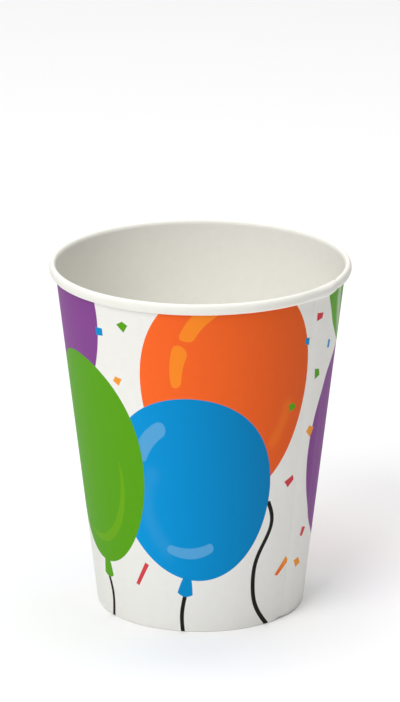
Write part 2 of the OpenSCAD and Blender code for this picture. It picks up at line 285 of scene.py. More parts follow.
@dataclass
class CupShape:
    """Sizes of the cup. The frame gives the outer ones, and the rest are named here."""

    height: float
    rim_r: float
    floor_h: float
    foot_r: float = 27 * MM
    mouth_r: float = 37.7 * MM
    board: float = 0.3 * MM
    glue: float = 0.02 * MM
    roll_w: float = 1.8 * MM
    roll_h: float = 2.9 * MM
    curl_turn: float = 410.0
    curl_gap: float = 0.06 * MM
    fold_r: float = 0.3 * MM
    skirt_gap: float = 0.7 * MM
    lap_edge: float = 51.0
    lap_w: float = 8 * MM

    @classmethod
    def from_frame(cls) -> "CupShape":
        """Reads the outer sizes off the boxes of the two CAD nodes.

        Returns:
            The cup's sizes.
        """
        wall_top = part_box("side_wall")[1]
        base_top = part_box("base_disc")[1]
        return cls(height=wall_top[2], rim_r=wall_top[0], floor_h=base_top[2])

    @property
    def taper(self) -> float:
        """Growth of the wall's radius for each metre of height."""
        return (self.mouth_r - self.foot_r) / self.height

    @property
    def cone_sin(self) -> float:
        """Sine of the half angle of the wall's cone."""
        return self.taper / math.hypot(1, self.taper)

    @property
    def cone_cos(self) -> float:
        """Cosine of the half angle of the wall's cone."""
        return 1 / math.hypot(1, self.taper)

    @property
    def foot_slant(self) -> float:
        """Slant length from the cone's apex to the foot."""
        return self.foot_r / self.cone_sin

    @property
    def lap_turn(self) -> float:
        """Angle that the lap spans, the same from foot to rim."""
        return math.degrees(self.lap_w / self.mouth_r)

    @property
    def roll_z(self) -> float:
        """Height of the roll's middle."""
        return self.height - self.roll_h / 2

    @property
    def roll_r(self) -> float:
        """Radius of the roll's middle."""
        return self.rim_r - self.roll_w / 2

    @property
    def skirt_depth(self) -> float:
        """From the wall's outer face to the middle of the skirt's board."""
        return 2.5 * self.board + 2 * self.glue

    @property
    def skirt_top(self) -> float:
        """Height of the skirt's cut edge."""
        return self.floor_h - self.board - self.skirt_gap

    def wall_r(self, z: np.ndarray | float) -> np.ndarray | float:
        """Outside radius of the straight wall at a height."""
        return self.foot_r + self.taper * z

    def blank_place(self, turn: float, height: float) -> tuple[float, float, float]:
        """Finds a place of the print on the flat blank.

        Args:
            turn: Turn from the front; past the lap's free edge it counts the other way round.
            height: Height as a share of the cup's height.

        Returns:
            X and Y on the flat blank, and the angle by which the blank's own up direction
            leans to the right there, in degrees.
        """
        reached = turn - 360 if turn > self.lap_edge else turn
        theta = math.radians(reached * self.cone_sin)
        rho = self.foot_slant + height * self.height / self.cone_cos
        return rho * math.sin(theta), rho * math.cos(theta) - self.foot_slant, math.degrees(theta)


class Graph:
    """Short calls that build one node tree."""

    def __init__(self, tree: bpy.types.NodeTree) -> None:
        """Keeps the tree that the calls build."""
        self.tree = tree

    def node(self, kind: str, **settings: object) -> bpy.types.Node:
        """Adds a node and sets its properties.

        Args:
            kind: Blender's name of the node's type.
            **settings: Value of each property to set.

        Returns:
            The node.
        """
        made = self.tree.nodes.new(kind)
        for name, value in settings.items():
            setattr(made, name, value)
        return made

    def feed(self, target: Socket, value: object) -> None:
        """Links a socket to the target, or sets the target to a plain value.

        Args:
            target: The input to feed.
            value: A socket, a number, or a tuple of numbers.
        """
        if isinstance(value, Socket):
            self.tree.links.new(value, target)
        elif isinstance(value, tuple) and len(target.default_value) > len(value):
            target.default_value = (*value, 1.0)
        else:
            target.default_value = value

    def math(self, operation: str, *values: object, clamp: bool = False) -> Socket:
        """Adds a Math node.

        Args:
            operation: Blender's name of the operation.
            *values: The operands.
            clamp: Whether the result is kept from 0 to 1.

        Returns:
            The result.
        """
        made = self.node("ShaderNodeMath", operation=operation, use_clamp=clamp)
        for target, value in zip(made.inputs, values):
            self.feed(target, value)
        return made.outputs[0]

    def split(self, vector: Socket) -> tuple[Socket, Socket, Socket]:
        """Splits a vector.

        Args:
            vector: The vector.

        Returns:
            Its X, Y and Z.
        """
        made = self.node("ShaderNodeSeparateXYZ")
        self.feed(made.inputs[0], vector)
        return tuple(made.outputs)

    def join(self, *parts: object) -> Socket:
        """Joins three values into a vector.

        Args:
            *parts: X, Y and Z.

        Returns:
            The vector.
        """
        made = self.node("ShaderNodeCombineXYZ")
        for target, value in zip(made.inputs, parts):
            self.feed(target, value)
        return made.outputs[0]

    def local(self, vector: Socket, place: object, turn: object, size: object) -> Socket:
        """Moves a vector into a mark's own frame: turned back about its place, over its size.

        Args:
            vector: The vector.
            place: Where the mark lies.
            turn: The mark's rotation.
            size: What the mark's own lengths are counted in.

        Returns:
            The vector in that frame.
        """
        made = self.node("ShaderNodeMapping", vector_type="TEXTURE")
        self.feed(made.inputs["Vector"], vector)
        self.feed(made.inputs["Location"], place)
        self.feed(made.inputs["Rotation"], turn)
        self.feed(made.inputs["Scale"], size)
        return made.outputs[0]

    def falloff(self, value: Socket, edge: object, soft: object) -> Socket:
        """A mask that is 1 under an edge and 0 over it, with a smooth step between.

        Args:
            value: What is held against the edge.
            edge: Where the mask is a half.
            soft: How far the step reaches to either side of the edge.

        Returns:
            The mask.
        """
        made = self.node("ShaderNodeMapRange", interpolation_type="SMOOTHSTEP")
        self.feed(made.inputs["Value"], value)
        self.feed(made.inputs["From Min"], self.math("ADD", edge, soft))
        self.feed(made.inputs["From Max"], self.math("SUBTRACT", edge, soft))
        return made.outputs[0]

    def blend(self, share: object, under: object, over: object, kind: str = "MIX") -> Socket:
        """Mixes two colours.

        Args:
            share: Share of the second colour.
            under: The first colour.
            over: The second colour.
            kind: Blender's name of the way of mixing.

        Returns:
            The mixed colour.
        """
        made = self.node("ShaderNodeMix", data_type="RGBA", blend_type=kind)
        named = {socket.identifier: socket for socket in made.inputs}
        self.feed(named["Factor_Float"], share)
        self.feed(named["A_Color"], under)
        self.feed(named["B_Color"], over)
        return next(s for s in made.outputs if s.identifier == "Result_Color")

    def toned(self, colour: object, tone: Socket) -> Socket:
        """Multiplies a colour by a tone about 1."""
        return self.blend(1.0, colour, self.join(tone, tone, tone), "MULTIPLY")

    def noise(self, vector: Socket, scale: float, detail: float = 2.0) -> Socket:
        """Adds a noise whose value lies about a half.

        Args:
            vector: What the noise follows.
            scale: Waves for each unit of the vector.
            detail: How many finer waves are added.

        Returns:
            The noise's value.
        """
        made = self.node("ShaderNodeTexNoise")
        self.feed(made.inputs["Vector"], vector)
        made.inputs["Scale"].default_value = scale
        made.inputs["Detail"].default_value = detail
        return made.outputs[0]

    def placed(self, group: bpy.types.NodeTree, **values: object) -> bpy.types.Node:
        """Places a node group.

        Args:
            group: The group.
            **values: What to feed each of its inputs.

        Returns:
            The node that holds the group.
        """
        made = self.node("ShaderNodeGroup", node_tree=group)
        for name, value in values.items():
            self.feed(made.inputs[name.capitalize()], value)
        return made


class Group:
    """A shader node group in the making."""

    KINDS = {"value": "NodeSocketFloat", "vector": "NodeSocketVector", "colour": "NodeSocketColor"}

    def __init__(self, name: str, inputs: dict[str, str], outputs: dict[str, str]) -> None:
        """Makes the group and its sockets.

        Args:
            name: Name of the group.
            inputs: Name of each input to its kind: value, vector or colour.
            outputs: The same for the outputs.
        """
        self.tree = bpy.data.node_groups.new(name, "ShaderNodeTree")
        for side, sockets in (("INPUT", inputs), ("OUTPUT", outputs)):
            for label, kind in sockets.items():
                self.tree.interface.new_socket(
                    name=label, in_out=side, socket_type=self.KINDS[kind])
        self.graph = Graph(self.tree)
        self.into = self.graph.node("NodeGroupInput").outputs
        self.out = self.graph.node("NodeGroupOutput").inputs

    def give(self, **values: Socket) -> bpy.types.NodeTree:
        """Feeds the group's outputs.

        Args:
            **values: The socket that feeds each output.

        Returns:
            The finished tree.
        """
        for name, value in values.items():
            self.graph.feed(self.out[name.capitalize()], value)
        return self.tree


MARK_INPUTS = {"Sheet": "vector", "Under": "colour", "Place": "vector", "Turn": "vector"}


class PrintGroups:
    """The node groups that draw one mark of the print each, over the colour under it.

    The edges of a neck and a scrap are shares of the mark's own size.
    """

    THINNEST_HIGHLIGHT = 0.002
    NECK_FLARE = 0.8
    NECK_ARC = 0.2
    NECK_TUCK = 0.12
    NECK_SIDE_EDGE = 0.03
    NECK_END_EDGE = 0.02
    SCRAP_EDGE = 0.06

    def __init__(self) -> None:
        """Builds each group once."""
        self.balloon = self._balloon()
        self.highlight = self._highlight()
        self.neck = self._neck()
        self.thread = self._thread()
        self.scrap = self._scrap()

    def _balloon(self) -> bpy.types.NodeTree:
        """A balloon: share = length(x / (1 + fullness * y), y) in halves of its size, under 1.

        Its ink is multiplied by 1 - shade * x, a painted shade that darkens it towards its right
        edge.

        Returns:
            The group, which also gives the share and the angle about the balloon's middle.
        """
        made = Group(
            "balloon_field",
            MARK_INPUTS | {
                "Size": "vector", "Fullness": "value", "Shade": "value", "Ink": "colour"},
            {"Colour": "colour", "Share": "value", "Angle": "value"})
        g, into = made.graph, made.into
        x, y, _ = g.split(g.local(into["Sheet"], into["Place"], into["Turn"], into["Size"]))
        plain_x = g.math("DIVIDE", x, g.math("MULTIPLY_ADD", into["Fullness"], y, 1.0))
        share = g.math("SQRT", g.math("MULTIPLY_ADD", plain_x, plain_x, g.math("MULTIPLY", y, y)))
        width, _, _ = g.split(into["Size"])
        mask = g.falloff(share, 1.0, g.math("DIVIDE", PRINT_EDGE, width))
        # Painted shade: the ink darkens towards the balloon's right edge.
        painted_shade_tone = g.math("SUBTRACT", 1.0, g.math("MULTIPLY", into["Shade"], x))
        shaded = g.node("ShaderNodeVectorMath", operation="SCALE")
        g.feed(shaded.inputs[0], into["Ink"])
        g.feed(shaded.inputs["Scale"], painted_shade_tone)
        return made.give(
            colour=g.blend(mask, into["Under"], shaded.outputs[0]),
            share=share,
            angle=g.math("ARCTAN2", y, plain_x))

    def _highlight(self) -> bpy.types.NodeTree:
        """A band along the outline: a box in the outline's angle and share, with round corners.

        Past the box's corners the mask takes the distance to the corner's middle, over its
        radius, under 1. All lengths are over half the band's thickness, which is
        half * (1 + taper * u - thin * u ** 2) at the share u of the way from its middle to
        its end. The tilt moves the ends along by tilt * (share - level) / half.

        Returns:
            The group.
        """
        made = Group(
            "balloon_highlight",
            {"Under": "colour", "Share": "value", "Angle": "value", "Middle": "value",
             "Reach": "value", "Level": "value", "Rise": "value", "Half": "value",
             "Thin": "value", "Taper": "value", "Tilt": "value", "Corner": "value",
             "Soft": "value", "Strength": "value", "Ink": "colour"},
            {"Colour": "colour"})
        g, into = made.graph, made.into
        turned = g.math("SUBTRACT", into["Angle"], into["Middle"])
        turned = g.math("WRAP", turned, math.pi, -math.pi)
        u = g.math("DIVIDE", turned, into["Reach"])
        level = g.math("MULTIPLY_ADD", into["Rise"], u, into["Level"])
        thinned = g.math("MULTIPLY", g.math("MULTIPLY", u, u), into["Thin"])
        grown = g.math("MULTIPLY_ADD", into["Taper"], u, 1.0)
        half = g.math("MULTIPLY", into["Half"], g.math("SUBTRACT", grown, thinned))
        half = g.math("MAXIMUM", half, self.THINNEST_HIGHLIGHT)
        aside = g.math("DIVIDE", g.math("SUBTRACT", into["Share"], level), half)
        across = g.math("SUBTRACT", g.math("ABSOLUTE", aside), 1.0)
        leant = g.math("SUBTRACT", turned, g.math("MULTIPLY", into["Tilt"], aside))
        along = g.math("SUBTRACT", g.math("ABSOLUTE", leant), into["Reach"])
        along = g.math("DIVIDE", g.math("MULTIPLY", along, level), half)
        reached = [
            g.math("MAXIMUM", g.math("ADD", part, into["Corner"]), 0.0)
            for part in (across, along)]
        squares = [g.math("MULTIPLY", part, part) for part in reached]
        away = g.math("DIVIDE", g.math("SQRT", g.math("ADD", *squares)), into["Corner"])
        mask = g.math("MULTIPLY", g.falloff(away, 1.0, into["Soft"]), into["Strength"])
        return made.give(colour=g.blend(mask, into["Under"], into["Ink"]))

    def _neck(self) -> bpy.types.NodeTree:
        """A tied neck that hangs from its place and flares downwards.

        At the share t of its length its half width is knot + (1 - knot) * t ** flare, in halves
        of the size's X. Its cut end is a shallow arc, lowest on its middle. It starts a little
        above its place, inside the balloon.

        Returns:
            The group.
        """
        made = Group(
            "balloon_neck",
            MARK_INPUTS | {"Size": "vector", "Knot": "value", "Ink": "colour"},
            {"Colour": "colour"})
        g, into = made.graph, made.into
        x, y, _ = g.split(g.local(into["Sheet"], into["Place"], into["Turn"], into["Size"]))
        down = g.math("MULTIPLY", y, -1.0)
        flare = g.math("POWER", g.math("MAXIMUM", down, 0.0), self.NECK_FLARE)
        half = g.math(
            "MULTIPLY_ADD", g.math("SUBTRACT", 1.0, into["Knot"]), flare, into["Knot"])
        side = g.math("SUBTRACT", g.math("ABSOLUTE", x), half)
        end = g.math("MULTIPLY_ADD", g.math("MULTIPLY", x, x), self.NECK_ARC, down)
        mask = g.math(
            "MULTIPLY", g.falloff(side, 0.0, self.NECK_SIDE_EDGE),
            g.falloff(end, 1.0, self.NECK_END_EDGE))
        start = g.falloff(y, self.NECK_TUCK, self.NECK_END_EDGE)
        return made.give(
            colour=g.blend(g.math("MULTIPLY", mask, start), into["Under"], into["Ink"]))

    def _thread(self) -> bpy.types.NodeTree:
        """A string that hangs from its place.

        At the share t of its drop its middle is
        x0 = drift t + bow sin(pi t) + wave sin(2 pi t) + ripple sin(3 pi t) + flick sin(4 pi t).
        The mask takes |x - x0| / sqrt(1 + slope ** 2) under half its width. The string starts
        at the share -lead.

        Returns:
            The group.
        """
        made = Group(
            "balloon_string",
            MARK_INPUTS | {"Drop": "value", "Drift": "value", "Bow": "value", "Wave": "value",
                           "Ripple": "value", "Flick": "value", "Width": "value",
                           "Lead": "value", "Ink": "colour"},
            {"Colour": "colour"})
        g, into = made.graph, made.into
        x, y, _ = g.split(g.local(into["Sheet"], into["Place"], into["Turn"], (1.0, 1.0, 1.0)))
        t = g.math("DIVIDE", y, g.math("MULTIPLY", into["Drop"], -1.0))
        middle = g.math("MULTIPLY", into["Drift"], t)
        slope = into["Drift"]
        for waves, label in enumerate(("Bow", "Wave", "Ripple", "Flick"), 1):
            size = into[label]
            angle = g.math("MULTIPLY", t, waves * math.pi)
            middle = g.math("MULTIPLY_ADD", size, g.math("SINE", angle), middle)
            rate = g.math("MULTIPLY", size, waves * math.pi)
            slope = g.math("MULTIPLY_ADD", rate, g.math("COSINE", angle), slope)
        slope = g.math("DIVIDE", slope, into["Drop"])
        steep = g.math("SQRT", g.math("MULTIPLY_ADD", slope, slope, 1.0))
        away = g.math("DIVIDE", g.math("ABSOLUTE", g.math("SUBTRACT", x, middle)), steep)
        mask = g.falloff(away, g.math("MULTIPLY", into["Width"], 0.5), PRINT_EDGE)
        lead = g.math("MULTIPLY", into["Drop"], into["Lead"])
        mask = g.math("MULTIPLY", mask, g.falloff(y, lead, PRINT_EDGE))
        return made.give(colour=g.blend(mask, into["Under"], into["Ink"]))

    def _scrap(self) -> bpy.types.NodeTree:
        """A scrap: max(|x + skew * y| + wedge * y, |y| + taper * x) in halves of its size, under 1.

        Its ink fades evenly into the other one from -x to +x.

        Returns:
            The group.
        """
        made = Group(
            "confetti_scrap",
            MARK_INPUTS | {"Size": "vector", "Skew": "value", "Taper": "value",
                           "Wedge": "value", "Ink": "colour", "Fade": "colour"},
            {"Colour": "colour"})
        g, into = made.graph, made.into
        x, y, _ = g.split(g.local(into["Sheet"], into["Place"], into["Turn"], into["Size"]))
        ends = g.math("ABSOLUTE", g.math("MULTIPLY_ADD", into["Skew"], y, x))
        ends = g.math("MULTIPLY_ADD", into["Wedge"], y, ends)
        sides = g.math("MULTIPLY_ADD", into["Taper"], x, g.math("ABSOLUTE", y))
        mask = g.falloff(g.math("MAXIMUM", ends, sides), 1.0, self.SCRAP_EDGE)
        along = g.math("MULTIPLY_ADD", x, 0.5, 0.5, clamp=True)
        ink = g.blend(along, into["Ink"], into["Fade"])
        return made.give(colour=g.blend(mask, into["Under"], ink))


class BoardGroups:
    """The node group that all board finishes share.

    Each noise has a scale, in waves for each metre, and a detail.
    """

    FIBRE_STRETCH = (1.0, 2.2, 1.0)
    FIBRES = (2600.0, 3.0)
    FLECKS = (420.0, 2.0)
    WAVES = (70.0, 1.0)

    def __init__(self) -> None:
        """Builds the group once."""
        self.grain = self._grain()

    def _grain(self) -> bpy.types.NodeTree:
        """Paper grain: tone = 1 + mottle * fleck, height = fibre * fibres + wave * slow waves.

        Returns:
            The group. Its noises lie about 0.
        """
        made = Group(
            "board_grain",
            {"Place": "vector", "Fibre": "value", "Mottle": "value", "Wave": "value"},
            {"Tone": "value", "Height": "value"})
        g, into = made.graph, made.into
        nowhere = (0.0, 0.0, 0.0)
        stretched = g.local(into["Place"], nowhere, nowhere, self.FIBRE_STRETCH)
        fibre = g.math("SUBTRACT", g.noise(stretched, *self.FIBRES), 0.5)
        fleck = g.math("SUBTRACT", g.noise(into["Place"], *self.FLECKS), 0.5)
        wave = g.math("SUBTRACT", g.noise(into["Place"], *self.WAVES), 0.5)
        tone = g.math("MULTIPLY_ADD", fleck, into["Mottle"], 1.0)
        height = g.math("MULTIPLY", fibre, into["Fibre"])
        height = g.math("MULTIPLY_ADD", wave, into["Wave"], height)
        return made.give(tone=tone, height=height)


@dataclass
class Press:
    """Lays the marks of the print on the flat blank, each over the colour under it.

    The neck's sizes are shares of the cup's height, hang is how far down a balloon its neck
    starts, and hard_edge is how far the edge of a plain highlight fades.
    """

    graph: Graph
    groups: PrintGroups
    shape: CupShape
    sheet: Socket
    thread_w: float = 1.05 * MM
    neck_w: float = 0.046
    neck_l: float = 0.053
    neck_knot: float = 0.56
    hang: float = 0.99
    hard_edge: float = 0.08
    bleed: float = 1.2 * MM

    def lay(self, mark: Balloon | Thread | Scrap, under: Socket) -> Socket:
        """Lays a mark of any kind over the colour under it, and returns the colour with it."""
        kinds = {Balloon: self.balloon, Thread: self.thread, Scrap: self.scrap}
        return kinds[type(mark)](mark, under)

    def place(self, turn: float, height: float, lean: float = 0.0) -> dict[str, Place]:
        """Place and turn of a mark, as the inputs of its group take them."""
        x, y, theta = self.shape.blank_place(turn, height)
        return {"place": (x, y, 0.0), "turn": (0.0, 0.0, -math.radians(theta + lean))}

    def balloon(self, mark: Balloon, under: Socket) -> Socket:
        """Lays a balloon with its highlights and its neck.

        Args:
            mark: The balloon.
            under: Colour under it.

        Returns:
            The colour with the balloon in it.
        """
        tall = self.shape.height
        drawn = self.graph.placed(
            self.groups.balloon, sheet=self.sheet, under=under, fullness=mark.fullness,
            shade=mark.shade, ink=mark.ink.body,
            size=(mark.half_w * tall, mark.half_h * tall, 1.0),
            **self.place(mark.turn, mark.height, mark.lean))
        colour = drawn.outputs["Colour"]
        for light in mark.highlights:
            colour = self.highlight(light, mark.ink, drawn, colour)
        return colour if mark.knot is None else self.neck(mark, colour)

    def highlight(
        self, light: Highlight, ink: Ink, drawn: bpy.types.Node, under: Socket
    ) -> Socket:
        """Lays a highlight on its balloon.

        Args:
            light: The highlight.
            ink: The balloon's ink.
            drawn: The node that draws the balloon.
            under: Colour under the highlight.

        Returns:
            The colour with the highlight in it.
        """
        # A soft highlight carries painted reflection; a plain one is printed.
        return self.graph.placed(
            self.groups.highlight, under=under, share=drawn.outputs["Share"],
            angle=drawn.outputs["Angle"],
            middle=math.radians((light.start + light.end) / 2),
            reach=math.radians((light.end - light.start) / 2),
            level=(light.first + light.last) / 2, rise=(light.last - light.first) / 2,
            half=light.half, thin=light.thin, taper=light.taper,
            tilt=math.radians(light.tilt), corner=1.0 if light.soft else light.corner,
            soft=max(light.soft, self.hard_edge), strength=light.strength,
            ink=(light.ink or ink).light).outputs[0]

    def neck(self, mark: Balloon, under: Socket) -> Socket:
        """Lays the neck of a balloon, straight under its place.

        Args:
            mark: The balloon.
            under: Colour under the neck.

        Returns:
            The colour with the neck in it.
        """
        tall = self.shape.height
        x, y, theta = self.shape.blank_place(mark.turn, mark.height)
        down = math.radians(theta)
        across, drop = mark.knot * tall, self.hang * mark.half_h * tall
        neck_place = (
            x + across * math.cos(down) - drop * math.sin(down),
            y - across * math.sin(down) - drop * math.cos(down),
            0.0)
        return self.graph.placed(
            self.groups.neck, sheet=self.sheet, under=under, place=neck_place,
            turn=(0.0, 0.0, math.radians(mark.swing) - down),
            size=(self.neck_w / 2 * tall, self.neck_l * tall, 1.0), knot=self.neck_knot,
            ink=mark.ink.body).outputs[0]

    def thread(self, mark: Thread, under: Socket) -> Socket:
        """Lays a string, from its top to past the foot's fold.

        Args:
            mark: The string.
            under: Colour under it.

        Returns:
            The colour with the string in it.
        """
        tall = self.shape.height
        return self.graph.placed(
            self.groups.thread, sheet=self.sheet, under=under,
            drop=mark.height * tall / self.shape.cone_cos, drift=mark.drift * tall,
            bow=mark.bow * tall, wave=mark.wave * tall, ripple=mark.ripple * tall,
            flick=mark.flick * tall, width=mark.thick * self.thread_w, lead=mark.lead,
            ink=Ink.BLACK.body, **self.place(mark.turn, mark.height)).outputs[0]

    def scrap(self, mark: Scrap, under: Socket) -> Socket:
        """Lays a scrap of confetti.

        Args:
            mark: The scrap.
            under: Colour under it.

        Returns:
            The colour with the scrap in it.
        """
        tall = self.shape.height
        return self.graph.placed(
            self.groups.scrap, sheet=self.sheet, under=under, skew=mark.skew,
            taper=mark.taper, wedge=mark.wedge,
            size=(mark.length / 2 * tall, mark.width / 2 * tall, 1.0), ink=mark.ink.body,
            fade=(mark.fade or mark.ink).body,
            **self.place(mark.turn, mark.height, -mark.slant)).outputs[0]

    def above_foot(self, colour: Socket, bare: Colour) -> Socket:
        """Ends the print just past the foot's fold, at the slant length foot_slant - bleed.

        Args:
            colour: Colour with all the marks in it.
            bare: Colour of the board without print.

        Returns:
            The colour with bare board from there on.
        """
        g, foot = self.graph, self.shape.foot_slant
        x, y, _ = g.split(self.sheet)
        reach = g.math("ADD", y, foot)
        slant = g.math("SQRT", g.math("MULTIPLY_ADD", x, x, g.math("MULTIPLY", reach, reach)))
        return g.blend(g.falloff(slant, foot - self.bleed, PRINT_EDGE), colour, bare)


@dataclass(frozen=True)
class BoardFinish:
    """White paperboard under a thin coating.

    Fibre and wave are the shares of the grain's two heights, mottle is how far its tone
    varies, and relief is its full height in metres. Patterns follow the flat blank where
    the finish is on the sheet, and the object's own coordinates elsewhere.
    """

    name: str
    tint: Colour
    roughness: float
    fibre: float = 0.35
    mottle: float = 0.05
    wave: float = 1.0
    bump: float = 0.25
    relief: float = 0.02 * MM
    gloss: float = 0.07
    on_sheet: bool = True

    def start(self, groups: BoardGroups) -> tuple[bpy.types.Material, Graph, Socket, bpy.types.Node]:
        """Makes the material with its grain, and leaves its colour to the caller.

        Args:
            groups: The shared board group.

        Returns:
            The material, its graph, the place that patterns follow, and the grain node.
        """
        material = bpy.data.materials.new(self.name)
        material.use_nodes = True
        g = Graph(material.node_tree)
        if self.on_sheet:
            place = g.node("ShaderNodeUVMap", uv_map=BLANK_MAP).outputs[0]
        else:
            place = g.node("ShaderNodeTexCoord").outputs["Object"]
        grain = g.placed(
            groups.grain, place=place, fibre=self.fibre, mottle=self.mottle, wave=self.wave)
        shader = material.node_tree.nodes["Principled BSDF"]
        bump = g.node("ShaderNodeBump")
        bump.inputs["Strength"].default_value = self.bump
        bump.inputs["Distance"].default_value = self.relief
        g.feed(bump.inputs["Height"], grain.outputs["Height"])
        g.feed(shader.inputs["Normal"], bump.outputs[0])
        shader.inputs["Specular IOR Level"].default_value = self.gloss
        shader.inputs["Roughness"].default_value = self.roughness
        return material, g, place, grain

    def build(self, groups: BoardGroups) -> bpy.types.Material:
        """Makes the plain finish: the tint times the grain's tone.

        Args:
            groups: The shared board group.

        Returns:
            The material.
        """
        material, g, _, grain = self.start(groups)
        shader = material.node_tree.nodes["Principled BSDF"]
        g.feed(shader.inputs["Base Color"], g.toned(self.tint, grain.outputs["Tone"]))
        return material


@dataclass(frozen=True)
class PrintedFinish(BoardFinish):
    """The board's outer face, with the print laid over its white.

    The roughness turns to that of ink by the colour's saturation times ink_reach.
    """

    ink_roughness: float = 0.52
    ink_reach: float = 1.4

    def build_print(
        self, groups: BoardGroups, marks: PrintGroups, shape: CupShape
    ) -> bpy.types.Material:
        """Makes the printed finish.

        Args:
            groups: The shared board group.
            marks: The groups that draw the marks.
            shape: The cup that the print lies on.

        Returns:
            The material.
        """
        material, g, sheet, grain = self.start(groups)
        colour = g.node("ShaderNodeRGB").outputs[0]
        colour.default_value = (*self.tint, 1.0)
        press = Press(g, marks, shape, sheet)
        for mark in (*BACKGROUND_PRINT, *FRONT_PRINT, *CONFETTI):
            colour = press.lay(mark, colour)
        colour = press.above_foot(colour, self.tint)
        shader = material.node_tree.nodes["Principled BSDF"]
        g.feed(shader.inputs["Base Color"], g.toned(colour, grain.outputs["Tone"]))
        hue = g.node("ShaderNodeSeparateColor", mode="HSV")
        g.feed(hue.inputs[0], colour)
        inked = g.math("MULTIPLY", hue.outputs[1], self.ink_reach, clamp=True)
        g.feed(shader.inputs["Roughness"], g.math(
            "MULTIPLY_ADD", inked, self.ink_roughness - self.roughness, self.roughness))
        return material


PRINTED_BOARD = PrintedFinish("printed_board", display(241, 240, 235), 0.6)
COATED_BOARD = BoardFinish("coated_board", display(240, 239, 232), 0.5)
CUT_BOARD = BoardFinish(
    "cut_board", display(240, 236, 226), 0.85, fibre=1.2, mottle=0.2, bump=0.6)
BASE_TOP = BoardFinish("base_top", display(247, 243, 235), 0.38, on_sheet=False)
BASE_UNDER = BoardFinish(
    "base_under", display(240, 236, 226), 0.7, fibre=0.8, mottle=0.1, bump=0.4, on_sheet=False)


def strip(number: np.ndarray) -> np.ndarray:
    """Quads between the neighbouring rows and columns of a grid of vertex numbers."""
    return np.stack([
        number[:-1, :-1], number[:-1, 1:], number[1:, 1:], number[1:, :-1]], -1).reshape(-1, 4)


@dataclass(frozen=True)
class Patch:
    """A grid of vertex numbers, with the slot and the band of the bake's map that it takes.

    The band is a stretch in V. In U the grid leaves a margin free at both ends.
    """

    number: np.ndarray
    slot: int
    band: tuple[float, float]
    flip: bool = False

    MARGIN = 0.004

    def quads(self) -> np.ndarray:
        """The patch's quads, turned over where its other side is the outer one."""
        return strip(self.number)[:, ::-1 if self.flip else 1]

    def places(self) -> np.ndarray:
        """Places the quads' corners on the bake's map: the columns run across the band.

        Returns:
            U and V of each corner, in the order of the quads.
        """
        rows, columns = self.number.shape
        corner = strip(np.arange(rows * columns).reshape(rows, columns))
        row, column = np.divmod(corner[:, ::-1 if self.flip else 1].ravel(), columns)
        low, high = self.band
        u = self.MARGIN + (1 - 2 * self.MARGIN) * column / (columns - 1)
        return np.stack([u, low + (high - low) * row / (rows - 1)], 1)


def make_piece(
    name: str, points: np.ndarray, quads: np.ndarray, slots: np.ndarray,
    materials: list[bpy.types.Material]
) -> bpy.types.Object:
    """Puts arrays of points and quads into a mesh object at the origin.

    Args:
        name: Name of the object and its mesh.
        points: Vertex places, n by 3.
        quads: Vertex numbers of each face, m by 4; a triangle repeats its last vertex.
        slots: Material slot of each face.
        materials: The materials of the slots.

    Returns:
        The object, smooth but for its sharp edges.
    """
    mesh = bpy.data.meshes.new(name)
    triangle = quads[:, 2] == quads[:, 3]
    sizes = np.where(triangle, 3, 4)
    keep = np.ones(quads.shape, bool)
    keep[triangle, 3] = False
    mesh.vertices.add(len(points))
    mesh.vertices.foreach_set("co", points.astype(np.float32).ravel())
    mesh.loops.add(int(sizes.sum()))
    mesh.loops.foreach_set("vertex_index", quads[keep].astype(np.int32))
    mesh.polygons.add(len(quads))
    mesh.polygons.foreach_set("loop_start", (np.cumsum(sizes) - sizes).astype(np.int32))
    mesh.polygons.foreach_set("material_index", slots.astype(np.int32))
    mesh.update(calc_edges=True)
    mesh.validate()
    mesh.polygons.foreach_set("use_smooth", np.ones(len(quads), bool))
    mesh.set_sharp_from_angle(angle=math.radians(SHARP_ANGLE))
    for material in materials:
        mesh.materials.append(material)
    made = bpy.data.objects.new(name, mesh)
    bpy.context.scene.collection.objects.link(made)
    return made


